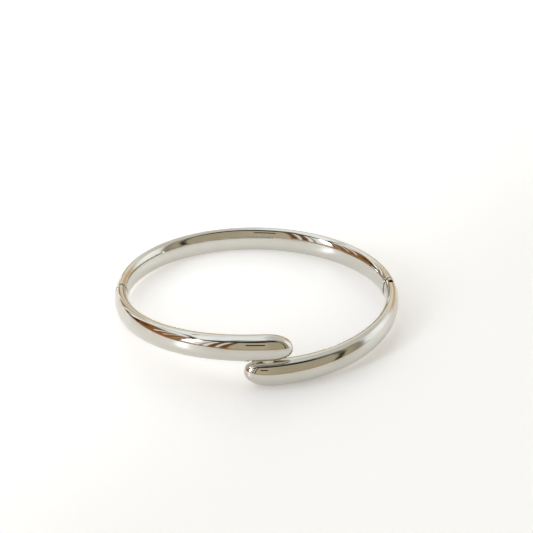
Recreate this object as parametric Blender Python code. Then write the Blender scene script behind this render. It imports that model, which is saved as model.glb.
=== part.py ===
"""Hinged crossover bangle bracelet.

The wrist goes through the oval along Z. The rear half is a plain band. The front half is two
arms that meet at the front, where one rounded tip lies above the other. The front half swings
about an upright pin at +X, and a tongue at -X snaps into a socket in the rear band.

Run with: blender --background --python part.py
"""

import math

import bmesh
import bpy
from mathutils import Vector

MM = 0.001

# ---------------------------------------------------------------- driving dimensions, in mm

# Oval centreline of the band
OVAL_HALF_WIDTH = 30.0
OVAL_HALF_DEPTH = 25.2

# Cross-section: a rounded, upright oval
BAND_THICKNESS = 3.05
BAND_HEIGHT = 5.8
SECTION_EXPONENT = 1.93

# Front arms, which thicken towards tips that lie one above the other
TIP_THICKNESS = 5.1
TIP_HEIGHT = 6.22
TIP_RISE = 3.3
TIP_OVERRUN_DEG = 11.7
RISE_EASE = 0.77
SWELL_EASE = 0.87

# Their blunt noses, each of which leans a little towards mid height
TIP_NOSE_LENGTH = 6.5
NOSE_EXPONENT = 2.45
NOSE_DROP = 0.5

# Joints between the halves, both this far behind the oval's widest points
JOINT_ANGLE_DEG = 1.4
KNUCKLE_RADIUS = 1.55
HINGE_MOUTH_RADIUS = 1.75
CLASP_MOUTH_RADIUS = 1.9

# Hinge
PIN_RADIUS = 0.5
PIN_HALF_LENGTH = 1.7
PIN_HOLE_RADIUS = 0.51
LUG_BORE_RADIUS = 0.53
LUG_RADIUS = 1.48
LUG_HALF_HEIGHT = 0.95
LUG_TENON_WIDTH = 1.2
LUG_TENON_DEPTH = 2.0
FORK_SLOT_RADIUS = 1.62
FORK_SLOT_HALF_HEIGHT = 1.0

# Clasp tongue, curved about the hinge axis so that it slides straight into its socket
TONGUE_INSET = 0.18
TONGUE_THICKNESS = 1.3
TONGUE_HALF_HEIGHT = 1.3
TONGUE_REACH = 4.0
TONGUE_ROOT = 2.2
TONGUE_NOSE_TAPER = 0.2
TONGUE_NOSE_LENGTH = 0.6
SOCKET_WALL = 0.2
SOCKET_START = 1.5
SOCKET_PLAY = 0.08

# Catch ball and its spring, inside the tongue
BALL_RADIUS = 0.4
BALL_REACH = 2.9
BALL_BORE_RADIUS = 0.43
BALL_LIP_RADIUS = 0.37
BALL_LIP_HEIGHT = 0.06
BALL_LIP_PLAY = 0.01
BALL_BORE_FLOOR = -0.95
WINDOW_RADIUS = 0.3
SPRING_WIRE_RADIUS = 0.07
SPRING_COIL_RADIUS = 0.32
SPRING_TURNS = 5
SPRING_PLAY = 0.01

# Braze between the two arms
BRAZE_HALF_LENGTH = 1.5
BRAZE_HALF_DEPTH = 0.8
BRAZE_HALF_HEIGHT = 0.6

# Gap that soldered or brazed pieces keep to each other
SEAT_GAP = 0.03

# Resolution
SECTION_POINTS = 32
REAR_ROWS = 48
ARM_ROWS = 32
NOSE_ROWS = 8
ROUND_SIDES = 32
WELD = 1e-7

# ---------------------------------------------------------------- the oval


def ease(x):
    """Smooth step from 0 to 1, flat at both ends."""
    x = min(max(x, 0.0), 1.0)
    return x * x * (3.0 - 2.0 * x)


def oval_point(angle_deg):
    """Point on the centreline at this angle from +X, at mid height."""
    c = math.cos(math.radians(angle_deg))
    s = math.sin(math.radians(angle_deg))
    reach = 1.0 / math.hypot(c / OVAL_HALF_WIDTH, s / OVAL_HALF_DEPTH)
    return Vector((reach * c, reach * s, 0.0))


def oval_normal(angle_deg):
    """Unit vector pointing straight out of the oval at this angle."""
    p = oval_point(angle_deg)
    return Vector((p.x / OVAL_HALF_WIDTH ** 2, p.y / OVAL_HALF_DEPTH ** 2, 0.0)).normalized()


HINGE_CENTRE = oval_point(JOINT_ANGLE_DEG)
CLASP_CENTRE = oval_point(180.0 - JOINT_ANGLE_DEG)
TONGUE_ARC_RADIUS = (HINGE_CENTRE - CLASP_CENTRE).length - TONGUE_INSET


def arc_point(radius, reach):
    """Point on a circle about the hinge axis, this far past the clasp centre along the arc."""
    turn = reach / TONGUE_ARC_RADIUS
    out = Vector((-math.cos(turn), math.sin(turn), 0.0))
    return HINGE_CENTRE + out * radius


# ---------------------------------------------------------------- collections and materials

for old in list(bpy.data.objects):
    bpy.data.objects.remove(old, do_unlink=True)

bangle = bpy.data.collections.new("crossover_bangle")
cutters = bpy.data.collections.new("cutters")
bpy.context.scene.collection.children.link(bangle)
bpy.context.scene.collection.children.link(cutters)

POLISHED_STEEL = (0.80, 0.78, 0.74)
WORN_STEEL = (0.62, 0.60, 0.56)
BRIGHT_SOLDER = (0.74, 0.71, 0.65)
SPRING_STEEL = (0.45, 0.45, 0.46)


def metal(name, colour, roughness):
    """Principled metal with one colour and roughness."""
    material = bpy.data.materials.new(name)
    material.use_nodes = True
    shader = material.node_tree.nodes["Principled BSDF"]
    shader.inputs["Base Color"].default_value = (*colour, 1.0)
    shader.inputs["Metallic"].default_value = 1.0
    shader.inputs["Roughness"].default_value = roughness
    return material


def finish_piece(piece, colour, roughness):
    """Give a sub-part its own material."""
    piece.data.materials.clear()
    piece.data.materials.append(metal(piece.name + "_metal", colour, roughness))


def hide_cutter(cutter):
    cutter.hide_render = True
    cutter.display_type = "WIRE"


# ---------------------------------------------------------------- building blocks


def mesh_object(name, bm, collection):
    """Turn a bmesh built in millimetres into an object in metres."""
    bmesh.ops.scale(bm, vec=(MM, MM, MM), verts=bm.verts)
    bmesh.ops.recalc_face_normals(bm, faces=bm.faces)
    mesh = bpy.data.meshes.new(name)
    bm.to_mesh(mesh)
    bm.free()
    mesh.shade_smooth()
    mesh.set_sharp_from_angle(angle=math.radians(35))
    made = bpy.data.objects.new(name, mesh)
    collection.objects.link(made)
    if collection is cutters:
        hide_cutter(made)
    return made


def section_outline(thickness, height, grow=0.0):
    """Points (across, up) of the rounded cross-section."""
    points = []
    for i in range(SECTION_POINTS):
        turn = 2.0 * math.pi * i / SECTION_POINTS
        c = math.cos(turn)
        s = math.sin(turn)
        across = math.copysign(abs(c) ** (2.0 / SECTION_EXPONENT), c) * (thickness / 2 + grow)
        up = math.copysign(abs(s) ** (2.0 / SECTION_EXPONENT), s) * (height / 2 + grow)
        points.append(Vector((across, up, 0.0)))
    return points


def section(angle_deg, thickness, height, rise, grow=0.0):
    """Cross-section standing across the centreline at this angle."""
    centre = oval_point(angle_deg) + Vector((0.0, 0.0, rise))
    out = oval_normal(angle_deg)
    up = Vector((0.0, 0.0, 1.0))
    return [centre + out * p.x + up * p.y for p in section_outline(thickness, height, grow)]


def loft_to_tip(name, sections, tip_point, collection):
    """Skin a row of unlike sections, flat at the first and closed on a point at the last."""
    bm = bmesh.new()
    rows = [[bm.verts.new(p) for p in row] for row in sections]
    tip = bm.verts.new(tip_point)
    bm.faces.new(rows[0])
    for i in range(SECTION_POINTS):
        j = (i + 1) % SECTION_POINTS
        for near, far in zip(rows, rows[1:]):
            bm.faces.new((near[i], near[j], far[j], far[i]))
        bm.faces.new((rows[-1][i], rows[-1][j], tip))
    return mesh_object(name, bm, collection)


def arm(name, side, collection, grow=0.0):
    """Front arm that starts at the +X joint (side 1) or the -X joint (side -1)."""
    sweep = 90.0 + TIP_OVERRUN_DEG
    tail = 6.0
    nose_angle = math.degrees(TIP_NOSE_LENGTH / OVAL_HALF_DEPTH)
    angles = [-tail + (sweep - nose_angle + tail) * i / ARM_ROWS for i in range(ARM_ROWS)]
    for i in range(NOSE_ROWS):
        angles.append(sweep - nose_angle * (1.0 - math.sin(math.pi / 2 * i / NOSE_ROWS)))
    rows = []
    for angle in angles:
        along = max(angle, 0.0) / sweep
        swell = ease(along ** SWELL_EASE)
        to_tip = math.radians(sweep - angle) * OVAL_HALF_DEPTH
        nose = max(1.0 - to_tip / TIP_NOSE_LENGTH, 0.0)
        rise = -side * (TIP_RISE * ease(along ** RISE_EASE) - NOSE_DROP * nose ** 2)
        rounding = (1.0 - nose ** NOSE_EXPONENT) ** (1.0 / NOSE_EXPONENT)
        thickness = (BAND_THICKNESS + (TIP_THICKNESS - BAND_THICKNESS) * swell) * rounding
        height = (BAND_HEIGHT + (TIP_HEIGHT - BAND_HEIGHT) * swell) * rounding
        turned = -angle if side > 0 else 180.0 + angle
        rows.append(section(turned, thickness, height, rise, grow))
    tip_angle = -sweep if side > 0 else 180.0 + sweep
    tip = oval_point(tip_angle) + Vector((0.0, 0.0, -side * (TIP_RISE - NOSE_DROP)))
    return loft_to_tip(name, rows, tip, collection)


def poly_curve(name, points, closed):
    """Curve object in metres through straight points given in millimetres."""
    curve = bpy.data.curves.new(name, "CURVE")
    curve.dimensions = "2D" if closed else "3D"
    spline = curve.splines.new("POLY")
    spline.points.add(len(points) - 1)
    for point, corner in zip(spline.points, points):
        point.co = (*(corner * MM), 1.0)
    spline.use_cyclic_u = closed
    made = bpy.data.objects.new(name, curve)
    cutters.objects.link(made)
    hide_cutter(made)
    return made


def curve_to_bmesh(guide):
    """Welded bmesh in millimetres of a curve object, which is then removed."""
    bpy.context.view_layer.update()
    evaluated = guide.evaluated_get(bpy.context.evaluated_depsgraph_get())
    mesh = bpy.data.meshes.new_from_object(evaluated)
    mesh.transform(guide.matrix_world)
    bm = bmesh.new()
    bm.from_mesh(mesh)
    bmesh.ops.remove_doubles(bm, verts=bm.verts, dist=WELD)
    bmesh.ops.scale(bm, vec=(1 / MM, 1 / MM, 1 / MM), verts=bm.verts)
    bpy.data.meshes.remove(mesh)
    bpy.data.objects.remove(guide, do_unlink=True)
    return bm


def plate(name, outline, low, high, collection):
    """Flat outline in the XY plane, extruded from one height to another."""
    guide = poly_curve(name + "_outline", outline, closed=True)
    guide.data.fill_mode = "BOTH"
    guide.data.extrude = (high - low) / 2 * MM
    guide.location.z = (high + low) / 2 * MM
    return mesh_object(name, curve_to_bmesh(guide), collection)


def upright_cylinder(name, centre, radius, low, high, collection):
    bm = bmesh.new()
    bmesh.ops.create_cone(bm, cap_ends=True, segments=ROUND_SIDES,
                          radius1=radius, radius2=radius, depth=high - low)
    bmesh.ops.translate(bm, verts=bm.verts, vec=(centre.x, centre.y, (high + low) / 2))
    return mesh_object(name, bm, collection)


def cut(piece, cutter):
    """Take the cutter's shape out of a piece."""
    modifier = piece.modifiers.new("cut_" + cutter.name, "BOOLEAN")
    modifier.operation = "DIFFERENCE"
    modifier.solver = "EXACT"
    modifier.object = cutter


def arc_bar(name, start, end, thickness, low, high, collection, taper=0.0):
    """Bar curved about the hinge axis, which may narrow at its far end."""
    steps = 6
    nose = TONGUE_NOSE_LENGTH if taper else 0.0
    reaches = [start + (end - nose - start) * i / steps for i in range(steps + 1)]
    widths = [thickness / 2] * len(reaches)
    if taper:
        reaches.append(end)
        widths.append(thickness / 2 - taper)
    outer = [arc_point(TONGUE_ARC_RADIUS + w, r) for r, w in zip(reaches, widths)]
    inner = [arc_point(TONGUE_ARC_RADIUS - w, r) for r, w in zip(reaches, widths)]
    return plate(name, outer + inner[::-1], low, high, collection)


# ---------------------------------------------------------------- rear half


def rear_band():
    """Plain band from joint to joint: the cross-section swept along the oval."""
    span = 180.0 - 2 * JOINT_ANGLE_DEG
    route = [oval_point(JOINT_ANGLE_DEG + span * i / REAR_ROWS) for i in range(REAR_ROWS + 1)]
    profile = poly_curve("band_profile", section_outline(BAND_THICKNESS, BAND_HEIGHT), closed=True)
    guide = poly_curve("band_route", route, closed=False)
    guide.data.twist_mode = "Z_UP"
    guide.data.bevel_mode = "OBJECT"
    guide.data.bevel_object = profile
    guide.data.use_fill_caps = True
    band = mesh_object("rear_band", curve_to_bmesh(guide), bangle)
    for name, centre, radius in (("hinge_mouth", HINGE_CENTRE, HINGE_MOUTH_RADIUS),
                                 ("clasp_mouth", CLASP_CENTRE, CLASP_MOUTH_RADIUS)):
        mouth = upright_cylinder(name, centre, radius, -BAND_HEIGHT, BAND_HEIGHT, cutters)
        cut(band, mouth)
    return band


def lug_outline():
    """Round knuckle with a straight tenon that points to the rear."""
    half = LUG_TENON_WIDTH / 2
    shoulder = math.asin(half / LUG_RADIUS)
    start = math.pi / 2 + shoulder
    sweep = 2 * math.pi - 2 * shoulder
    outline = []
    for i in range(ROUND_SIDES + 1):
        turn = start + sweep * i / ROUND_SIDES
        outline.append(HINGE_CENTRE + Vector((math.cos(turn), math.sin(turn), 0)) * LUG_RADIUS)
    back = HINGE_MOUTH_RADIUS + LUG_TENON_DEPTH
    outline.append(HINGE_CENTRE + Vector((half, back, 0)))
    outline.append(HINGE_CENTRE + Vector((-half, back, 0)))
    return outline


def hinge_lug(band):
    """Middle knuckle of the hinge; its tenon is seated in the rear band."""
    lug = plate("hinge_lug", lug_outline(), -LUG_HALF_HEIGHT, LUG_HALF_HEIGHT, bangle)
    bore = upright_cylinder("lug_bore", HINGE_CENTRE, LUG_BORE_RADIUS,
                            -BAND_HEIGHT, BAND_HEIGHT, cutters)
    cut(lug, bore)
    half = LUG_TENON_WIDTH / 2 + SEAT_GAP
    back = HINGE_MOUTH_RADIUS + LUG_TENON_DEPTH + SEAT_GAP
    corners = [Vector(c) for c in ((-half, 0, 0), (half, 0, 0), (half, back, 0), (-half, back, 0))]
    high = LUG_HALF_HEIGHT + SEAT_GAP
    mortise = plate("lug_mortise", [HINGE_CENTRE + c for c in corners], -high, high, cutters)
    cut(band, mortise)
    return lug


def ball_centre():
    """Centre of the catch ball when it stands out of the tongue as far as its lip allows."""
    centre = arc_point(TONGUE_ARC_RADIUS, BALL_REACH)
    under_lip = math.sqrt(BALL_RADIUS ** 2 - BALL_LIP_RADIUS ** 2) + BALL_LIP_PLAY
    centre.z = TONGUE_HALF_HEIGHT - BALL_LIP_HEIGHT - under_lip
    return centre


def clasp_socket(band):
    """Lined box in the rear band, with a window above the catch ball."""
    play = 2 * SOCKET_PLAY
    end = TONGUE_REACH + play
    inside = TONGUE_HALF_HEIGHT + SOCKET_PLAY
    outside = inside + SOCKET_WALL
    width = TONGUE_THICKNESS + play
    outer_width = width + 2 * SOCKET_WALL
    socket = arc_bar("clasp_socket", SOCKET_START, end + SOCKET_WALL, outer_width,
                     -outside, outside, bangle)
    cavity = arc_bar("socket_cavity", 0.0, end, width, -inside, inside, cutters)
    lip = upright_cylinder("socket_lip", CLASP_CENTRE, CLASP_MOUTH_RADIUS + SEAT_GAP,
                           -BAND_HEIGHT, BAND_HEIGHT, cutters)
    window = upright_cylinder("ball_window", ball_centre(), WINDOW_RADIUS,
                              0.0, BAND_HEIGHT, cutters)
    for cutter in (cavity, lip, window):
        cut(socket, cutter)
    pocket = arc_bar("socket_pocket", 0.0, end + SOCKET_WALL + SEAT_GAP,
                     outer_width + 2 * SEAT_GAP, -outside - SEAT_GAP, outside + SEAT_GAP, cutters)
    cut(band, pocket)
    return socket


# ---------------------------------------------------------------- front half


def end_trimmer(name, centre):
    """Cutter that leaves an arm's end round about an upright axis."""
    reach = 3 * KNUCKLE_RADIUS
    outline = [centre + Vector((-reach, 0, 0))]
    for i in range(ROUND_SIDES + 1):
        turn = math.pi * (1.0 - i / ROUND_SIDES)
        outline.append(centre + Vector((math.cos(turn), math.sin(turn), 0)) * KNUCKLE_RADIUS)
    outline.append(centre + Vector((reach, 0, 0)))
    outline.append(centre + Vector((reach, reach, 0)))
    outline.append(centre + Vector((-reach, reach, 0)))
    return plate(name, outline, -BAND_HEIGHT, BAND_HEIGHT, cutters)


def lower_arm():
    """Arm from the hinge; its round end is slotted into a fork for the lug."""
    piece = arm("lower_arm", 1, bangle)
    cut(piece, end_trimmer("hinge_end_trimmer", HINGE_CENTRE))
    slot = upright_cylinder("fork_slot", HINGE_CENTRE, FORK_SLOT_RADIUS,
                            -FORK_SLOT_HALF_HEIGHT, FORK_SLOT_HALF_HEIGHT, cutters)
    hole = upright_cylinder("pin_hole", HINGE_CENTRE, PIN_HOLE_RADIUS,
                            -BAND_HEIGHT, BAND_HEIGHT, cutters)
    cut(piece, slot)
    cut(piece, hole)
    return piece


def upper_arm():
    """Arm from the clasp; its round end carries the tongue."""
    piece = arm("upper_arm", -1, bangle)
    cut(piece, end_trimmer("clasp_end_trimmer", CLASP_CENTRE))
    high = TONGUE_HALF_HEIGHT + SEAT_GAP
    mortise = arc_bar("tongue_mortise", -TONGUE_ROOT - SEAT_GAP, SOCKET_START + KNUCKLE_RADIUS,
                      TONGUE_THICKNESS + 2 * SEAT_GAP, -high, high, cutters)
    cut(piece, mortise)
    return piece


def hinge_pin():
    return upright_cylinder("hinge_pin", HINGE_CENTRE, PIN_RADIUS,
                            -PIN_HALF_LENGTH, PIN_HALF_LENGTH, bangle)


def clasp_tongue():
    """Tongue with a blind bore for the catch ball, closed in by a narrow lip."""
    tongue = arc_bar("clasp_tongue", -TONGUE_ROOT, TONGUE_REACH, TONGUE_THICKNESS,
                     -TONGUE_HALF_HEIGHT, TONGUE_HALF_HEIGHT, bangle, taper=TONGUE_NOSE_TAPER)
    centre = ball_centre()
    bore = upright_cylinder("ball_bore", centre, BALL_BORE_RADIUS, BALL_BORE_FLOOR,
                            TONGUE_HALF_HEIGHT - BALL_LIP_HEIGHT, cutters)
    lip = upright_cylinder("ball_lip", centre, BALL_LIP_RADIUS, centre.z,
                           2 * TONGUE_HALF_HEIGHT, cutters)
    cut(tongue, bore)
    cut(tongue, lip)
    return tongue


def catch_ball():
    bm = bmesh.new()
    bmesh.ops.create_uvsphere(bm, u_segments=20, v_segments=12, radius=BALL_RADIUS)
    bmesh.ops.translate(bm, verts=bm.verts, vec=ball_centre())
    return mesh_object("catch_ball", bm, bangle)


def catch_spring():
    """Coil between the bore's floor and the underside of the ball."""
    centre = ball_centre()
    low = BALL_BORE_FLOOR + SPRING_WIRE_RADIUS + SPRING_PLAY
    reach = BALL_RADIUS + SPRING_WIRE_RADIUS + SPRING_PLAY
    high = centre.z - math.sqrt(reach ** 2 - SPRING_COIL_RADIUS ** 2)
    curve = bpy.data.curves.new("catch_spring", "CURVE")
    curve.dimensions = "3D"
    curve.bevel_depth = SPRING_WIRE_RADIUS * MM
    curve.bevel_resolution = 2
    curve.use_fill_caps = True
    spline = curve.splines.new("POLY")
    steps = 12 * SPRING_TURNS
    spline.points.add(steps)
    for i, point in enumerate(spline.points):
        turn = 2 * math.pi * SPRING_TURNS * i / steps
        x = centre.x + SPRING_COIL_RADIUS * math.cos(turn)
        y = centre.y + SPRING_COIL_RADIUS * math.sin(turn)
        z = low + (high - low) * i / steps
        point.co = (x * MM, y * MM, z * MM, 1.0)
    spring = bpy.data.objects.new("catch_spring", curve)
    bangle.objects.link(spring)
    return spring


def crossover_braze():
    """Web of braze that fills the narrow gap between the arms at the front."""
    bm = bmesh.new()
    bmesh.ops.create_cone(bm, cap_ends=True, segments=ROUND_SIDES, radius1=1.0, radius2=1.0,
                          depth=2 * BRAZE_HALF_HEIGHT)
    bmesh.ops.scale(bm, vec=(BRAZE_HALF_LENGTH, BRAZE_HALF_DEPTH, 1.0), verts=bm.verts)
    bmesh.ops.translate(bm, verts=bm.verts, vec=(0.0, -OVAL_HALF_DEPTH, 0.0))
    braze = mesh_object("crossover_braze", bm, bangle)
    for name, side in (("lower_arm_seat", 1), ("upper_arm_seat", -1)):
        cut(braze, arm(name, side, cutters, grow=SEAT_GAP))
    return braze


# ---------------------------------------------------------------- assembly


def pivot(name, centre):
    """Empty on a joint's axis, which carries the pieces that move about it."""
    empty = bpy.data.objects.new(name, None)
    empty.location = centre * MM
    bangle.objects.link(empty)
    bpy.context.view_layer.update()
    return empty


def carry(carrier, pieces):
    """Parent pieces to a pivot without moving them."""
    for piece in pieces:
        piece.parent = carrier
        piece.matrix_parent_inverse = carrier.matrix_world.inverted()


def main():
    band = rear_band()
    lug = hinge_lug(band)
    socket = clasp_socket(band)

    lower = lower_arm()
    upper = upper_arm()
    braze = crossover_braze()
    pin = hinge_pin()
    tongue = clasp_tongue()
    ball = catch_ball()
    spring = catch_spring()

    for piece in (band, lower, upper):
        finish_piece(piece, POLISHED_STEEL, 0.06)
    for piece in (lug, socket, tongue, pin):
        finish_piece(piece, WORN_STEEL, 0.22)
    finish_piece(braze, BRIGHT_SOLDER, 0.18)
    for piece in (ball, spring):
        finish_piece(piece, SPRING_STEEL, 0.15)

    front = pivot("front_half_pivot", HINGE_CENTRE)
    catch = pivot("catch_ball_pivot", ball_centre())
    carry(front, (lower, upper, braze, pin, tongue, spring, catch))
    carry(catch, (ball,))


main()
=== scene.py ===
"""Looks of the hinged crossover bangle bracelet.

The band, the two front arms and the catch spring are rebuilt as fine meshes on the CAD's own
shapes, with rounded rims at the joints. The other fittings keep their CAD meshes. Every piece
gets a procedural metal. A mirror polish shows little but its surroundings, so the world is a
plain room of soft cards and strokes, placed where the photo's reflections need them. Lengths are
in millimetres until a mesh is finished, and then in metres.
"""

import math

import bmesh
import bpy
from mathutils import Matrix, Vector


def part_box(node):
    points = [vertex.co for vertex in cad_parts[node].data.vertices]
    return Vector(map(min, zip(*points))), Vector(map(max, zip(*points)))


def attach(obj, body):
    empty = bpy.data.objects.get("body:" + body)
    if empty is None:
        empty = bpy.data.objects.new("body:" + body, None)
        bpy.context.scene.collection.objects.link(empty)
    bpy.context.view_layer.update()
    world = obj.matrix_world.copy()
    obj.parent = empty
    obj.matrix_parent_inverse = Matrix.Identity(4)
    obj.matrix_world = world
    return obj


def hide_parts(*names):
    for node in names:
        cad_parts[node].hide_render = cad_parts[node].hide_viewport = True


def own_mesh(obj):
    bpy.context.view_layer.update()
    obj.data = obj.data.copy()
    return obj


MM = 0.001

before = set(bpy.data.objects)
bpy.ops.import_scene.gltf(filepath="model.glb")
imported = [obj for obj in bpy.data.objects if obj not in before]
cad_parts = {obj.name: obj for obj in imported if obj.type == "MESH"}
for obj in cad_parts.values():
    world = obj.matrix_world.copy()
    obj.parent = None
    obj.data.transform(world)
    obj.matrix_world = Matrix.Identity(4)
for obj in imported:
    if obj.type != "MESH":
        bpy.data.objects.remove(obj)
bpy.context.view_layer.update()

# ---------------------------------------------------------------- sizes shared with the CAD, in mm

OVAL_HALF_WIDTH = 30.0
OVAL_HALF_DEPTH = 25.2
BAND_THICKNESS = 3.05
BAND_HEIGHT = 5.8
SECTION_EXPONENT = 1.93

TIP_THICKNESS = 5.1
TIP_HEIGHT = 6.22
TIP_RISE = 3.3
TIP_OVERRUN_DEG = 11.7
RISE_EASE = 0.77
SWELL_EASE = 0.87
TIP_NOSE_LENGTH = 6.5
NOSE_EXPONENT = 2.45
NOSE_DROP = 0.5
ARM_SWEEP_DEG = 90.0 + TIP_OVERRUN_DEG

JOINT_ANGLE_DEG = 1.4
KNUCKLE_RADIUS = 1.55
HINGE_MOUTH_RADIUS = 1.75
CLASP_MOUTH_RADIUS = 1.9
PIN_HOLE_RADIUS = 0.51
FORK_SLOT_RADIUS = 1.62
FORK_SLOT_HALF_HEIGHT = 1.0

LUG_POCKET = {"half_width": 0.63, "half_height": 0.98, "depth": 3.78}
TONGUE_INSET = 0.18
TONGUE_POCKET = {"start": -2.23, "end": 3.05, "thickness": 1.36, "half_height": 1.33}
SOCKET_POCKET = {"start": 0.0, "end": 4.39, "thickness": 1.92, "half_height": 1.61}

BALL_REACH = 2.9
SPRING_LOW = -0.87
SPRING_HIGH = 0.72
SPRING_TURNS = 5
SPRING_COIL_RADIUS = 0.32
SPRING_WIRE_RADIUS = 0.07

# ---------------------------------------------------------------- fineness and rounded rims, in mm

SECTION_POINTS = 112
REAR_ROWS = 220
ARM_ROWS = 160
NOSE_ROWS = 36
SEAM_ROWS = 8
SEAM_END_DEG = 6.0
RIM_ROWS = 5
RIM_RADIUS = 0.34
WALL_SHARES = (0.06, 0.3, 0.55, 0.8)
SEAM_HALVINGS = 40
ROUND_SIDES = 96
ARC_STEPS = 12
FLARE_STEPS = 6
WIRE_SIDES = 16
COIL_STEPS = 48
COUNTERSINK_FLARE = 0.1
COUNTERSINK_DEPTH = 0.16
SHARP_EDGE_DEG = 38.0
SEAT_PLAY = 0.02
HOLE_WALL_PLAY = 0.03

# ---------------------------------------------------------------- the oval


def ease(x):
    """Smooth step from 0 to 1, flat at both ends."""
    x = min(max(x, 0.0), 1.0)
    return x * x * (3.0 - 2.0 * x)


def oval_point(angle_deg):
    """Point on the centreline at this angle from +X, at mid height."""
    c = math.cos(math.radians(angle_deg))
    s = math.sin(math.radians(angle_deg))
    reach = 1.0 / math.hypot(c / OVAL_HALF_WIDTH, s / OVAL_HALF_DEPTH)
    return Vector((reach * c, reach * s, 0.0))


def oval_normal(angle_deg):
    """Unit vector pointing straight out of the oval at this angle."""
    p = oval_point(angle_deg)
    return Vector((p.x / OVAL_HALF_WIDTH ** 2, p.y / OVAL_HALF_DEPTH ** 2, 0.0)).normalized()


HINGE_CENTRE = oval_point(JOINT_ANGLE_DEG)
CLASP_CENTRE = oval_point(180.0 - JOINT_ANGLE_DEG)
TONGUE_ARC_RADIUS = (HINGE_CENTRE - CLASP_CENTRE).length - TONGUE_INSET


def section_share(i):
    """Point (across, up) of the rounded section, as shares of its half sizes."""
    turn = 2.0 * math.pi * i / SECTION_POINTS
    c = math.cos(turn)
    s = math.sin(turn)
    across = math.copysign(abs(c) ** (2.0 / SECTION_EXPONENT), c)
    up = math.copysign(abs(s) ** (2.0 / SECTION_EXPONENT), s)
    return across, up


SHARES = [section_share(i) for i in range(SECTION_POINTS)]


def surface_point(angle_deg, share, thickness, height, rise):
    """Point of the section that stands across the centreline at this angle."""
    across, up = share
    point = oval_point(angle_deg) + oval_normal(angle_deg) * (across * thickness / 2)
    point.z = rise + up * height / 2
    return point


def band_from_hinge(angle, share):
    """Point of the rear band, this many degrees from the hinge."""
    return surface_point(JOINT_ANGLE_DEG + angle, share, BAND_THICKNESS, BAND_HEIGHT, 0.0)


def band_from_clasp(angle, share):
    """Point of the rear band, this many degrees from the clasp."""
    turned = 180.0 - JOINT_ANGLE_DEG - angle
    return surface_point(turned, share, BAND_THICKNESS, BAND_HEIGHT, 0.0)


def arm_point(side, angle, share):
    """Point of an arm, this many degrees along it from the +X (1) or the -X (-1) end."""
    along = max(angle, 0.0) / ARM_SWEEP_DEG
    swell = ease(along ** SWELL_EASE)
    to_tip = math.radians(ARM_SWEEP_DEG - angle) * OVAL_HALF_DEPTH
    nose = max(1.0 - to_tip / TIP_NOSE_LENGTH, 0.0)
    rise = -side * (TIP_RISE * ease(along ** RISE_EASE) - NOSE_DROP * nose ** 2)
    rounding = (1.0 - nose ** NOSE_EXPONENT) ** (1.0 / NOSE_EXPONENT)
    thickness = (BAND_THICKNESS + (TIP_THICKNESS - BAND_THICKNESS) * swell) * rounding
    height = (BAND_HEIGHT + (TIP_HEIGHT - BAND_HEIGHT) * swell) * rounding
    turned = -angle if side > 0 else 180.0 + angle
    return surface_point(turned, share, thickness, height, rise)


def lower_point(angle, share):
    """Point of the lower arm, this many degrees from its knuckle."""
    return arm_point(1, angle, share)


def upper_point(angle, share):
    """Point of the upper arm, this many degrees from the clasp."""
    return arm_point(-1, angle, share)


# ---------------------------------------------------------------- mesh tools


def mesh_object(name, bm):
    """Turn a bmesh built in millimetres into an object in metres."""
    bmesh.ops.scale(bm, vec=(MM, MM, MM), verts=bm.verts)
    bmesh.ops.recalc_face_normals(bm, faces=bm.faces)
    mesh = bpy.data.meshes.new(name)
    bm.to_mesh(mesh)
    bm.free()
    made = bpy.data.objects.new(name, mesh)
    bpy.context.scene.collection.objects.link(made)
    return made


def skin(name, start, loops, end):
    """Closed surface through loops of equal length, drawn to a point at both ends."""
    bm = bmesh.new()
    rows = [[bm.verts.new(p) for p in loop] for loop in loops]
    first = bm.verts.new(start)
    last = bm.verts.new(end)
    count = len(loops[0])
    for i in range(count):
        j = (i + 1) % count
        for near, far in zip(rows, rows[1:]):
            bm.faces.new((near[i], near[j], far[j], far[i]))
        bm.faces.new((first, rows[0][j], rows[0][i]))
        bm.faces.new((last, rows[-1][i], rows[-1][j]))
    return mesh_object(name, bm)


def prism(name, outline, low, high):
    """Upright solid on a flat outline."""
    bm = bmesh.new()
    bottom = [bm.verts.new((p.x, p.y, low)) for p in outline]
    top = [bm.verts.new((p.x, p.y, high)) for p in outline]
    bm.faces.new(bottom)
    bm.faces.new(top)
    for i in range(len(outline)):
        j = (i + 1) % len(outline)
        bm.faces.new((bottom[i], bottom[j], top[j], top[i]))
    return mesh_object(name, bm)


def turned_solid(name, centre, profile):
    """Solid of revolution about an upright axis, from (radius, height) pairs."""
    loops = []
    for radius, height in profile:
        turns = [2.0 * math.pi * i / ROUND_SIDES for i in range(ROUND_SIDES)]
        loops.append([centre + Vector((radius * math.cos(t), radius * math.sin(t), height))
                      for t in turns])
    low = centre + Vector((0.0, 0.0, profile[0][1]))
    high = centre + Vector((0.0, 0.0, profile[-1][1]))
    return skin(name, low, loops, high)


def arc_bar(name, pocket):
    """Bar curved about the hinge axis, for the pockets of the tongue and its socket."""
    outer, inner = [], []
    for i in range(ARC_STEPS + 1):
        reach = pocket["start"] + (pocket["end"] - pocket["start"]) * i / ARC_STEPS
        turn = reach / TONGUE_ARC_RADIUS
        out = Vector((-math.cos(turn), math.sin(turn), 0.0))
        outer.append(HINGE_CENTRE + out * (TONGUE_ARC_RADIUS + pocket["thickness"] / 2))
        inner.append(HINGE_CENTRE + out * (TONGUE_ARC_RADIUS - pocket["thickness"] / 2))
    return prism(name, outer + inner[::-1], -pocket["half_height"], pocket["half_height"])


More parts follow.
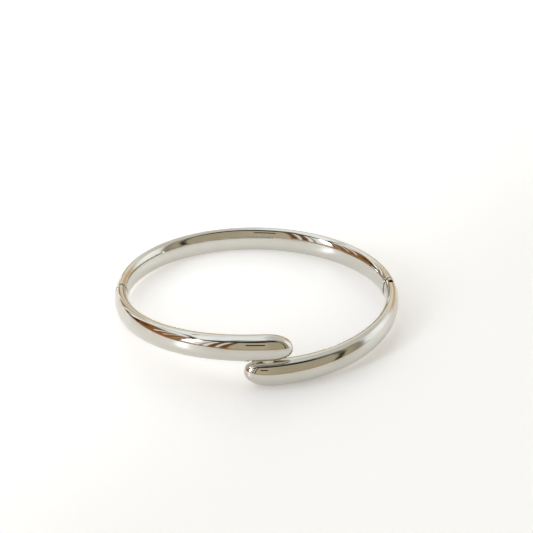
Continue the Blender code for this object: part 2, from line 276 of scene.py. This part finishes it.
def carve(piece, tools):
    """Take the tools' shapes out of a piece for good."""
    for tool in tools:
        modifier = piece.modifiers.new(tool.name, "BOOLEAN")
        modifier.operation = "DIFFERENCE"
        modifier.solver = "EXACT"
        modifier.object = tool
    bpy.context.view_layer.update()
    evaluated = piece.evaluated_get(bpy.context.evaluated_depsgraph_get())
    carved = bpy.data.meshes.new_from_object(evaluated)
    piece.modifiers.clear()
    piece.data = carved
    for tool in tools:
        bpy.data.objects.remove(tool, do_unlink=True)


def smooth(piece):
    """Smooth shading that keeps true edges."""
    piece.data.shade_smooth()
    piece.data.set_sharp_from_angle(angle=math.radians(SHARP_EDGE_DEG))


# ---------------------------------------------------------------- ends at the joints


def seam_angle(surface, share, centre, radius, outside):
    """Angle between 0 and outside at which the surface meets the upright cylinder."""
    inside = 0.0
    for _ in range(SEAM_HALVINGS):
        middle = (inside + outside) / 2
        offset = surface(middle, share) - centre
        if math.hypot(offset.x, offset.y) < radius:
            inside = middle
        else:
            outside = middle
    return (inside + outside) / 2


def round_end(surface, centre, radius, outside):
    """End of a piece where an upright cylinder shapes it, with a rounded rim.

    Returns the middle of the end wall, the loops from there over the rim, and the angle at
    which each column of the piece leaves the rim.
    """
    aim = surface(outside, (0.0, 0.0)) - centre
    aim.z = 0.0
    aim.normalize()
    side = Vector((aim.y, -aim.x, 0.0))

    def on_wall(corner, share):
        offset = (corner - centre).dot(side) * share
        point = centre + side * offset + aim * math.sqrt(radius ** 2 - offset ** 2)
        point.z = corner.z * share
        return point

    rim_deg = math.degrees(RIM_RADIUS / OVAL_HALF_WIDTH)
    seams = [seam_angle(surface, share, centre, radius, outside) for share in SHARES]
    starts = [angle + rim_deg for angle in seams]
    corners = [surface(angle, share) for angle, share in zip(seams, SHARES)]
    outer = [surface(angle, share) for angle, share in zip(starts, SHARES)]
    inner = []
    for corner in corners:
        spread = math.hypot((corner - centre).dot(side), corner.z)
        inner.append(on_wall(corner, 1.0 - RIM_RADIUS / spread))
    loops = [[on_wall(corner, share) for corner in corners] for share in WALL_SHARES]
    for row in range(RIM_ROWS + 1):
        t = row / RIM_ROWS
        loops.append([a * (1 - t) ** 2 + b * (2 * t * (1 - t)) + c * t ** 2
                      for a, b, c in zip(inner, corners, outer)])
    return centre + aim * radius, loops, starts


def seam_loops(surface, starts):
    """Loops that even out from the curved rim to a straight section."""
    loops = []
    for row in range(1, SEAM_ROWS + 1):
        share = row / SEAM_ROWS
        loops.append([surface(start + (SEAM_END_DEG - start) * share, point)
                      for start, point in zip(starts, SHARES)])
    return loops


# ---------------------------------------------------------------- fine pieces


def fine_rear_band():
    """Plain band with a round mouth at both ends, and pockets for the fittings."""
    hinge = round_end(band_from_hinge, HINGE_CENTRE, HINGE_MOUTH_RADIUS, SEAM_END_DEG)
    clasp = round_end(band_from_clasp, CLASP_CENTRE, CLASP_MOUTH_RADIUS, SEAM_END_DEG)
    loops = hinge[1] + seam_loops(band_from_hinge, hinge[2])
    span = 180.0 - 2 * (JOINT_ANGLE_DEG + SEAM_END_DEG)
    for row in range(1, REAR_ROWS):
        angle = SEAM_END_DEG + span * row / REAR_ROWS
        loops.append([band_from_hinge(angle, share) for share in SHARES])
    loops += (clasp[1] + seam_loops(band_from_clasp, clasp[2]))[::-1]
    band = skin("polished_rear_band", hinge[0], loops, clasp[0])
    across = Vector((LUG_POCKET["half_width"], 0.0, 0.0))
    inward = Vector((0.0, LUG_POCKET["depth"], 0.0))
    outline = [HINGE_CENTRE + step for step in (-across, across, across + inward, inward - across)]
    lug_pocket = prism("lug_pocket", outline,
                       -LUG_POCKET["half_height"], LUG_POCKET["half_height"])
    carve(band, [lug_pocket, arc_bar("socket_pocket", SOCKET_POCKET)])
    return band


def fine_arm(name, surface, centre):
    """Arm from its knuckle to its rounded tip."""
    middle, loops, starts = round_end(surface, centre, KNUCKLE_RADIUS, -SEAM_END_DEG)
    loops += seam_loops(surface, starts)
    nose_deg = math.degrees(TIP_NOSE_LENGTH / OVAL_HALF_DEPTH)
    straight = ARM_SWEEP_DEG - nose_deg - SEAM_END_DEG
    for row in range(1, ARM_ROWS):
        angle = SEAM_END_DEG + straight * row / ARM_ROWS
        loops.append([surface(angle, share) for share in SHARES])
    for row in range(NOSE_ROWS):
        angle = ARM_SWEEP_DEG - nose_deg * (1.0 - math.sin(math.pi / 2 * row / NOSE_ROWS))
        loops.append([surface(angle, share) for share in SHARES])
    return skin(name, middle, loops, surface(ARM_SWEEP_DEG, (0.0, 0.0)))


def pin_hole_profile():
    """Upright hole with a lip that flares smoothly at both ends."""
    start = BAND_HEIGHT / 2 - COUNTERSINK_DEPTH
    flare = []
    for i in range(FLARE_STEPS + 1):
        share = i / FLARE_STEPS
        radius = PIN_HOLE_RADIUS + COUNTERSINK_FLARE * (1.0 - math.sqrt(1.0 - share ** 2))
        flare.append((radius, start + COUNTERSINK_DEPTH * share))
    flare.append((PIN_HOLE_RADIUS + COUNTERSINK_FLARE, BAND_HEIGHT))
    return [(radius, -height) for radius, height in reversed(flare)] + flare


def fine_lower_arm():
    """Arm with the hinge's fork and its pin hole."""
    arm = fine_arm("polished_lower_arm", lower_point, HINGE_CENTRE)
    high = FORK_SLOT_HALF_HEIGHT
    slot = turned_solid("fork_slot", HINGE_CENTRE,
                        [(FORK_SLOT_RADIUS, -high), (FORK_SLOT_RADIUS, high)])
    carve(arm, [slot, turned_solid("pin_hole", HINGE_CENTRE, pin_hole_profile())])
    return arm


def paint_shade_in_hole(arm, material):
    """Give the wall of the pin hole a near-black metal: painted shade in the hole."""
    arm.data.materials.append(material)
    reach = PIN_HOLE_RADIUS + HOLE_WALL_PLAY
    for face in arm.data.polygons:
        centre = face.center / MM
        if math.hypot(centre.x - HINGE_CENTRE.x, centre.y - HINGE_CENTRE.y) < reach:
            face.material_index = 1


def fine_upper_arm():
    """Arm with a pocket for the tongue."""
    arm = fine_arm("polished_upper_arm", upper_point, CLASP_CENTRE)
    carve(arm, [arc_bar("tongue_pocket", TONGUE_POCKET)])
    return arm


def fine_spring():
    """Round wire wound under the catch ball."""
    turn = BALL_REACH / TONGUE_ARC_RADIUS
    centre = HINGE_CENTRE + Vector((-math.cos(turn), math.sin(turn), 0.0)) * TONGUE_ARC_RADIUS
    steps = SPRING_TURNS * COIL_STEPS
    climb = (SPRING_HIGH - SPRING_LOW) / (2.0 * math.pi * SPRING_TURNS)
    middles, loops = [], []
    for i in range(steps + 1):
        angle = 2.0 * math.pi * SPRING_TURNS * i / steps
        out = Vector((math.cos(angle), math.sin(angle), 0.0))
        along = Vector((-out.y * SPRING_COIL_RADIUS, out.x * SPRING_COIL_RADIUS, climb))
        across = along.normalized().cross(out)
        middle = centre + out * SPRING_COIL_RADIUS
        middle.z = SPRING_LOW + climb * angle
        middles.append(middle)
        sides = [2.0 * math.pi * k / WIRE_SIDES for k in range(WIRE_SIDES)]
        loops.append([middle + (out * math.cos(t) + across * math.sin(t)) * SPRING_WIRE_RADIUS
                      for t in sides])
    return skin("wound_spring", middles[0], loops, middles[-1])


# ---------------------------------------------------------------- node helpers


class Nodes:
    """Short calls for building a node tree."""

    def __init__(self, tree):
        self.tree = tree

    def add(self, kind, inputs=None, **settings):
        """New node with its settings, and its inputs linked or set."""
        node = self.tree.nodes.new(kind)
        for key, value in settings.items():
            setattr(node, key, value)
        for key, value in (inputs or {}).items():
            if isinstance(value, bpy.types.NodeSocket):
                self.tree.links.new(value, node.inputs[key])
            else:
                node.inputs[key].default_value = value
        return node

    def math(self, operation, a, b=0.0, c=0.0):
        return self.add("ShaderNodeMath", {0: a, 1: b, 2: c}, operation=operation).outputs[0]

    def ramp(self, value, low, high, to_low=0.0, to_high=1.0):
        """Smooth step of a value between two levels."""
        inputs = {"Value": value, "From Min": low, "From Max": high,
                  "To Min": to_low, "To Max": to_high}
        node = self.add("ShaderNodeMapRange", inputs, interpolation_type="SMOOTHSTEP")
        return node.outputs["Result"]

    def mix(self, share, a, b):
        """Blend of two colours."""
        node = self.add("ShaderNodeMix", {"Factor": share, "A": a, "B": b}, data_type="RGBA")
        for socket in node.outputs:
            if socket.type == "RGBA":
                return socket

    def noise(self, place, scale, detail=2.0, roughness=0.5):
        inputs = {"Vector": place, "Scale": scale, "Detail": detail, "Roughness": roughness}
        return self.add("ShaderNodeTexNoise", inputs).outputs["Fac"]


def empty_tree(holder):
    """Node tree of a material or a world, with nothing in it."""
    holder.use_nodes = True
    holder.node_tree.nodes.clear()
    return Nodes(holder.node_tree)


# ---------------------------------------------------------------- metals

WORN_POINTINESS = (0.52, 0.62)
BLOTCH_SCALE = 260.0
BLOTCH_DETAIL = 4.0
BLOTCH_ROUGHNESS = 0.6
BLOTCH_LEVELS = (0.42, 0.72)
BLOTCH_RUB = 0.5
WAVE_DETAIL = 1.0
MARK_DETAIL = 3.0
MARK_ROUGHNESS = 0.7

EVEN = (1.0, 1.0, 1.0)
DRAWN_OUT = (1.0, 1.0, 0.1)
DRAWN_WIRE = (1.0, 1.0, 0.2)

METALS = {
    "mirror_polish": {
        "colour": (0.62, 0.605, 0.55), "worn_colour": (0.66, 0.65, 0.61),
        "roughness": (0.03, 0.09), "wave_mm": (0.9, 0.003),
        "grain": (9000.0, 0.0001, EVEN)},
    "satin_fitting": {
        "colour": (0.50, 0.485, 0.45), "worn_colour": (0.60, 0.58, 0.54),
        "roughness": (0.2, 0.3), "wave_mm": (1.5, 0.001),
        "grain": (12000.0, 0.002, DRAWN_OUT)},
    "braze_plated": {
        "colour": (0.58, 0.55, 0.48), "worn_colour": (0.62, 0.59, 0.53),
        "roughness": (0.12, 0.22), "wave_mm": (0.6, 0.01),
        "grain": (9000.0, 0.0005, EVEN)},
    # Near-black metal of the hinge pin and the pin hole's wall: painted shade deep in the hole.
    "shaded_hole_metal": {
        "colour": (0.05, 0.045, 0.04), "worn_colour": (0.09, 0.085, 0.075),
        "roughness": (0.4, 0.55), "wave_mm": (1.5, 0.001),
        "grain": (12000.0, 0.002, DRAWN_OUT)},
    "spring_wire": {
        "colour": (0.40, 0.40, 0.41), "worn_colour": (0.5, 0.5, 0.51),
        "roughness": (0.12, 0.2), "wave_mm": (1.0, 0.0005),
        "grain": (15000.0, 0.0005, DRAWN_WIRE)},
}


def object_place(nodes, stretch=(1.0, 1.0, 1.0)):
    """Place on the piece in metres, stretched where a texture runs along one way."""
    place = nodes.add("ShaderNodeTexCoord").outputs["Object"]
    inputs = {"Vector": place, "Scale": stretch}
    return nodes.add("ShaderNodeMapping", inputs).outputs["Vector"]


def metal(name, colour, worn_colour, roughness, wave_mm, grain):
    """Metal with a wavy, faintly scratched surface and worn rims.

    roughness is (polished, rubbed), wave_mm is (length, height) of the polish's waves and
    grain is (fineness per metre, height in mm, stretch) of the tool marks.
    """
    material = bpy.data.materials.new(name)
    nodes = empty_tree(material)
    place = object_place(nodes)
    rims = nodes.add("ShaderNodeNewGeometry").outputs["Pointiness"]
    worn = nodes.ramp(rims, *WORN_POINTINESS)
    blotches = nodes.noise(place, BLOTCH_SCALE, BLOTCH_DETAIL, BLOTCH_ROUGHNESS)
    blotches = nodes.ramp(blotches, *BLOTCH_LEVELS)
    rubbed = nodes.math("MAXIMUM", worn, nodes.math("MULTIPLY", blotches, BLOTCH_RUB))
    tone = nodes.mix(rubbed, (*colour, 1.0), (*worn_colour, 1.0))
    rough = nodes.ramp(rubbed, 0.0, 1.0, *roughness)

    length, height = wave_mm
    waves = nodes.noise(place, 1.0 / (length * MM), WAVE_DETAIL)
    wavy = nodes.add("ShaderNodeBump", {"Height": waves, "Distance": height * MM})
    fineness, depth, stretch = grain
    marks = nodes.noise(object_place(nodes, stretch), fineness, MARK_DETAIL, MARK_ROUGHNESS)
    inputs = {"Height": marks, "Distance": depth * MM, "Normal": wavy.outputs["Normal"]}
    marked = nodes.add("ShaderNodeBump", inputs)

    shader = nodes.add("ShaderNodeBsdfPrincipled", {
        "Base Color": tone, "Roughness": rough, "Metallic": 1.0,
        "Normal": marked.outputs["Normal"]})
    nodes.add("ShaderNodeOutputMaterial", {"Surface": shader.outputs["BSDF"]})
    return material


def dress(piece, material):
    """Give a piece this material and no other."""
    piece.data.materials.clear()
    piece.data.materials.append(material)


# ---------------------------------------------------------------- table


def rest_plane():
    """Height at the origin, in metres, and slope of the surface that the bangle lies on.

    It touches the lower tip at the front and the plain band at the rear.
    """
    front_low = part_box("lower_arm")[0].z
    rear_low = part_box("rear_band")[0].z
    slope = math.atan2(rear_low - front_low, 2 * OVAL_HALF_DEPTH * MM)
    return (front_low + rear_low) / 2, slope


# Radius and reach are in metres.
TABLE_RADIUS = 2.5
TABLE_SIDES = 96
TABLE_WHITE = (0.95, 0.95, 0.95)
TABLE_GLOW = (0.16, 0.35)
TABLE_GLOW_AIM = (-0.7, 0.7, 0.0)
TABLE_GLOW_REACH = 0.035
TABLE_GLOW_LIGHT = (1.0, 1.0, 1.0)
TABLE_ROUGHNESS = 0.3


def floor(height, slope):
    """Plain white table top, lit a little from below, more so towards the window and the rear."""
    bm = bmesh.new()
    bmesh.ops.create_circle(bm, cap_ends=True, segments=TABLE_SIDES, radius=TABLE_RADIUS)
    mesh = bpy.data.meshes.new("table_top")
    bm.to_mesh(mesh)
    bm.free()
    top = bpy.data.objects.new("table_top", mesh)
    bpy.context.scene.collection.objects.link(top)
    top.location = (0.0, 0.0, height - SEAT_PLAY * MM)
    top.rotation_euler = (slope, 0.0, 0.0)
    material = bpy.data.materials.new("white_table")
    nodes = empty_tree(material)
    place = nodes.add("ShaderNodeTexCoord").outputs["Object"]
    towards = nodes.add("ShaderNodeVectorMath", {0: place, 1: TABLE_GLOW_AIM},
                        operation="DOT_PRODUCT").outputs["Value"]
    glow = nodes.ramp(towards, -TABLE_GLOW_REACH, TABLE_GLOW_REACH, *TABLE_GLOW)
    shader = nodes.add("ShaderNodeBsdfPrincipled", {
        "Base Color": (*TABLE_WHITE, 1.0), "Roughness": TABLE_ROUGHNESS,
        "Emission Color": (*TABLE_GLOW_LIGHT, 1.0), "Emission Strength": glow})
    nodes.add("ShaderNodeOutputMaterial", {"Surface": shader.outputs["BSDF"]})
    dress(top, material)


# ---------------------------------------------------------------- room

BACKDROP = (0.96, 0.96, 0.955)
CEILING = (1.16, 1.22, 1.27)
GREY_CEILING = (0.76, 0.76, 0.72)
WALL = (0.52, 0.46, 0.335)
PALE_WALL = (0.95, 0.85, 0.64)
CREAM_WALL = (0.60, 0.53, 0.39)
TAN_WALL = (0.82, 0.58, 0.34)
BROWN_WALL = (0.32, 0.155, 0.055)
WOOD = (0.48, 0.30, 0.14)
DARK_WOOD = (0.22, 0.10, 0.035)
DARK_BROWN = (0.12, 0.055, 0.02)
GREY_BROWN = (0.40, 0.34, 0.27)
DARK_GREY = (0.16, 0.155, 0.145)
BLACK_BROWN = (0.06, 0.045, 0.03)
NEAR_BLACK = (0.012, 0.011, 0.01)
SKIRTING = (0.42, 0.20, 0.07)
WHITE = (1.36, 1.36, 1.36)
SHEER = (1.10, 1.10, 1.12)
WINDOW = (17.0, 18.5, 21.0)

# Bearings round the table run from +Y (0) over +X (90); all measures are in degrees.
# Walls and openings: bearing and its half width, elevation and its half height, softness of the
# edge, and light. Later ones cover earlier ones.
CARDS = (
    (72, 62, 60, 24, 14, GREY_CEILING),
    (148, 42, 24, 31, 5, WALL),
    (-168, 20, 20, 38, 8, CREAM_WALL),
    (-28, 32, 14, 26, 12, PALE_WALL),
    (36, 28, 12, 18, 9, TAN_WALL),
    (-8, 48, 4, 8, 4, WOOD),
    (83, 9, 22, 16, 6, WHITE),
    (-92, 28, 18, 21, 6, BROWN_WALL),
    (-130, 13, 25, 22, 3, SHEER),
    (-123, 3.6, 27, 11, 1.6, WINDOW),
    (-79, 4, 17, 6, 3, DARK_BROWN),
    (-70, 4.5, 9, 6, 2.5, NEAR_BLACK),
    (-173, 8.5, 35.4, 4.2, 0.8, NEAR_BLACK),
)

# Frames, posts and rails: bearing and elevation of both ends, half width, softness and light
STROKES = (
    # bright strip over the window
    (-128, 46, -112, 57, 3, 3, WHITE),
    (-112, 57, -80, 66, 3, 4, WHITE),
    # arch and ceiling seam behind the window
    (-119, 36, -106, 50, 2.2, 1.8, DARK_BROWN),
    (-106, 50, -86, 54, 2.2, 2, BROWN_WALL),
    (-86, 54, -62, 46, 1.6, 1.6, GREY_BROWN),
    (-60, 62, -10, 56, 1, 1.5, GREY_BROWN),
    # posts behind the window, then in front of it
    (-112, 6, -115, 38, 1.4, 1.2, GREY_BROWN),
    (-102, 14, -106, 42, 1.2, 1.2, PALE_WALL),
    (-92, 15, -95, 38, 1.2, 1.2, WHITE),
    (-62, 10, -66, 40, 3, 3, WHITE),
    (-117, 5, -118, 44, 1.4, 1.2, BROWN_WALL),
    (-135, 6, -135, 46, 1.2, 1.0, GREY_BROWN),
    (-143, 6, -142, 52, 2.4, 1.0, DARK_WOOD),
    (-151, 6, -152, 57, 2.4, 1.0, DARK_WOOD),
    # rail and skirting along the table's horizon
    (100, 2, 180, 3, 1.4, 1.2, WOOD),
    (180, 3, -155, 5, 1.4, 1.2, WOOD),
    (-155, 6, -60, 2, 2.6, 1.6, SKIRTING),
    (-67, 7, -54, 0, 2.8, 1.8, NEAR_BLACK),
    # shade and post at the front right
    (112, 4, 103, 46, 5, 4, GREY_BROWN),
    (129, 0, 121, 32, 2.8, 2.2, BLACK_BROWN),
    (121, 32, 117, 50, 3.2, 3, DARK_GREY),
    # arch over the front: its grey top, its brown underside and its black face
    (122, 62, 150, 73, 4, 4, DARK_GREY),
    (150, 73, -142, 71, 4.5, 4, DARK_GREY),
    (-142, 71, -124, 46, 2.5, 2.5, DARK_GREY),
    (119, 50, 150, 58, 2.5, 2, DARK_BROWN),
    (150, 58, 180, 58, 2.5, 1.8, DARK_BROWN),
    (180, 58, -150, 55, 2.5, 1.8, DARK_BROWN),
    (119, 54, 138, 61, 4, 3, DARK_GREY),
    (138, 62, 180, 63.5, 5.2, 1.5, NEAR_BLACK),
    (180, 63.5, -150, 60, 5.2, 1.5, NEAR_BLACK),
    (-150, 60, -134, 49, 4.6, 1.8, BLACK_BROWN),
    (-134, 49, -119, 40, 2.6, 2, DARK_BROWN),
)

SLAT_COUNT = 9
SLAT_LIGHTS = (GREY_BROWN, WHITE, WOOD)
SLAT_FOOT = {"first": -57, "step": 5.5}
SLAT_HEAD = {"first": -56, "step": 5}
SLAT_HEAD_ELEVATION = 36
SLAT_HALF_WIDTH = 1.7
SLAT_SOFTNESS = 1.3


def slats():
    """Strokes for a row of upright slats at the rear left, in turn dark, white and tan."""
    rows = []
    for i in range(SLAT_COUNT):
        foot = SLAT_FOOT["first"] + SLAT_FOOT["step"] * i
        head = SLAT_HEAD["first"] + SLAT_HEAD["step"] * i
        rows.append((foot, 0, head, SLAT_HEAD_ELEVATION, SLAT_HALF_WIDTH, SLAT_SOFTNESS,
                     SLAT_LIGHTS[i % len(SLAT_LIGHTS)]))
    return tuple(rows)


def card(nodes, bearing, elevation, row, under):
    """One soft-edged card over what is already there."""
    middle, half_width, height, half_height, softness, light = row
    aside = nodes.math("WRAP", nodes.math("SUBTRACT", bearing, middle), 180.0, -180.0)
    aside = nodes.math("ABSOLUTE", aside)
    above = nodes.math("ABSOLUTE", nodes.math("SUBTRACT", elevation, height))
    across = nodes.ramp(aside, half_width - softness, half_width + softness, 1.0, 0.0)
    up = nodes.ramp(above, half_height - softness, half_height + softness, 1.0, 0.0)
    return nodes.mix(nodes.math("MULTIPLY", across, up), under, (*light, 1.0))


def stroke(nodes, bearing, elevation, row, under):
    """One soft-edged straight stroke over what is already there."""
    bearing_a, elevation_a, bearing_b, elevation_b, half, softness, light = row
    narrowing = math.cos(math.radians((elevation_a + elevation_b) / 2))
    turn = (bearing_b - bearing_a + 180.0) % 360.0 - 180.0
    run = Vector((turn * narrowing, elevation_b - elevation_a, 0.0))
    aside = nodes.math("WRAP", nodes.math("SUBTRACT", bearing, bearing_a), 180.0, -180.0)
    place = nodes.add("ShaderNodeCombineXYZ", {
        0: nodes.math("MULTIPLY", aside, narrowing),
        1: nodes.math("SUBTRACT", elevation, elevation_a)}).outputs[0]
    along = nodes.add("ShaderNodeVectorMath", {0: place, 1: run / run.length_squared},
                      operation="DOT_PRODUCT").outputs["Value"]
    along = nodes.add("ShaderNodeClamp", {"Value": along}).outputs[0]
    nearest = nodes.add("ShaderNodeVectorMath", {0: run, "Scale": along},
                        operation="SCALE").outputs[0]
    away = nodes.add("ShaderNodeVectorMath", {0: place, 1: nearest},
                     operation="DISTANCE").outputs["Value"]
    share = nodes.ramp(away, half - softness, half + softness, 1.0, 0.0)
    return nodes.mix(share, under, (*light, 1.0))


def studio(slope):
    """Soft light from a plain room with one window, in the table's own frame."""
    world = bpy.data.worlds.new("studio")
    bpy.context.scene.world = world
    nodes = empty_tree(world)
    seen = nodes.add("ShaderNodeTexCoord").outputs["Generated"]
    turned = nodes.add("ShaderNodeMapping", {"Vector": seen, "Rotation": (-slope, 0.0, 0.0)})
    parts = nodes.add("ShaderNodeSeparateXYZ", {"Vector": turned.outputs["Vector"]}).outputs
    bearing = nodes.math("MULTIPLY", nodes.math("ARCTAN2", parts["X"], parts["Y"]),
                         math.degrees(1))
    elevation = nodes.math("MULTIPLY", nodes.math("ARCSINE", parts["Z"]), math.degrees(1))
    light = (*CEILING, 1.0)
    for row in CARDS:
        light = card(nodes, bearing, elevation, row, light)
    for row in slats() + STROKES:
        light = stroke(nodes, bearing, elevation, row, light)
    room = nodes.add("ShaderNodeBackground", {"Color": light})
    plain = nodes.add("ShaderNodeBackground", {"Color": (*BACKDROP, 1.0)})
    to_camera = nodes.add("ShaderNodeLightPath").outputs["Is Camera Ray"]
    both = nodes.add("ShaderNodeMixShader", {
        0: to_camera, 1: room.outputs[0], 2: plain.outputs[0]})
    nodes.add("ShaderNodeOutputWorld", {"Surface": both.outputs[0]})


# ---------------------------------------------------------------- camera

CAMERA_TARGET = Vector((3.46, 12.81, 0.0))
CAMERA_AZIMUTH_DEG = -7.01
CAMERA_ELEVATION_DEG = 31.54
CAMERA_DISTANCE = 581.9
CAMERA_ROLL_DEG = 2.24
CAMERA_LENS = 173.77
CAMERA_CLIP = (0.01, 20.0)


def camera():
    """Long lens from the front and above, turned a little about its own axis."""
    azimuth = math.radians(CAMERA_AZIMUTH_DEG)
    height = math.radians(CAMERA_ELEVATION_DEG)
    roll = math.radians(CAMERA_ROLL_DEG)
    back = Vector((math.sin(azimuth) * math.cos(height), -math.cos(azimuth) * math.cos(height),
                   math.sin(height)))
    right = Vector((0.0, 0.0, 1.0)).cross(back).normalized()
    up = back.cross(right)
    rolled_right = right * math.cos(roll) + up * math.sin(roll)
    rolled_up = up * math.cos(roll) - right * math.sin(roll)
    data = bpy.data.cameras.new("camera")
    data.lens = CAMERA_LENS
    data.clip_start, data.clip_end = CAMERA_CLIP
    made = bpy.data.objects.new("camera", data)
    bpy.context.scene.collection.objects.link(made)
    turn = Matrix((rolled_right, rolled_up, back)).transposed().to_4x4()
    place = Matrix.Translation((CAMERA_TARGET + back * CAMERA_DISTANCE) * MM)
    made.matrix_world = place @ turn
    bpy.context.scene.camera = made


# ---------------------------------------------------------------- assembly


def main():
    """Build the fine pieces, dress every piece, and set up the table, room and camera."""
    bpy.context.scene.view_settings.view_transform = "Standard"
    camera()
    height, slope = rest_plane()
    floor(height, slope)
    studio(slope)

    metals = {name: metal(name, **look) for name, look in METALS.items()}
    mirror = metals["mirror_polish"]
    satin = metals["satin_fitting"]
    hole_shade = metals["shaded_hole_metal"]
    spring = metals["spring_wire"]

    coil = fine_spring()
    forked_arm = fine_lower_arm()
    fine = ((fine_rear_band(), "rear_band", "rear_half", mirror, "polished_metal"),
            (fine_upper_arm(), "upper_arm", "front_half", mirror, "polished_metal"),
            (forked_arm, "lower_arm", "front_half", mirror, "polished_metal"),
            (coil, "catch_spring", "front_half", spring, "spring_steel"))
    for piece, node, body, material, slot in fine:
        smooth(piece)
        dress(piece, material)
        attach(piece, body)
        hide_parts(node)
    # The pin hole's wall gets painted shade: the near-black metal.
    paint_shade_in_hole(forked_arm, hole_shade)
    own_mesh(coil)

    # The hinge pin wears the near-black metal too: painted shade at the bottom of the pin hole.
    kept = {"crossover_braze": metals["braze_plated"], "hinge_lug": satin, "hinge_pin": hole_shade,
            "clasp_tongue": satin, "clasp_socket": satin, "catch_ball": spring}
    for node, material in kept.items():
        dress(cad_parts[node], material)


main()
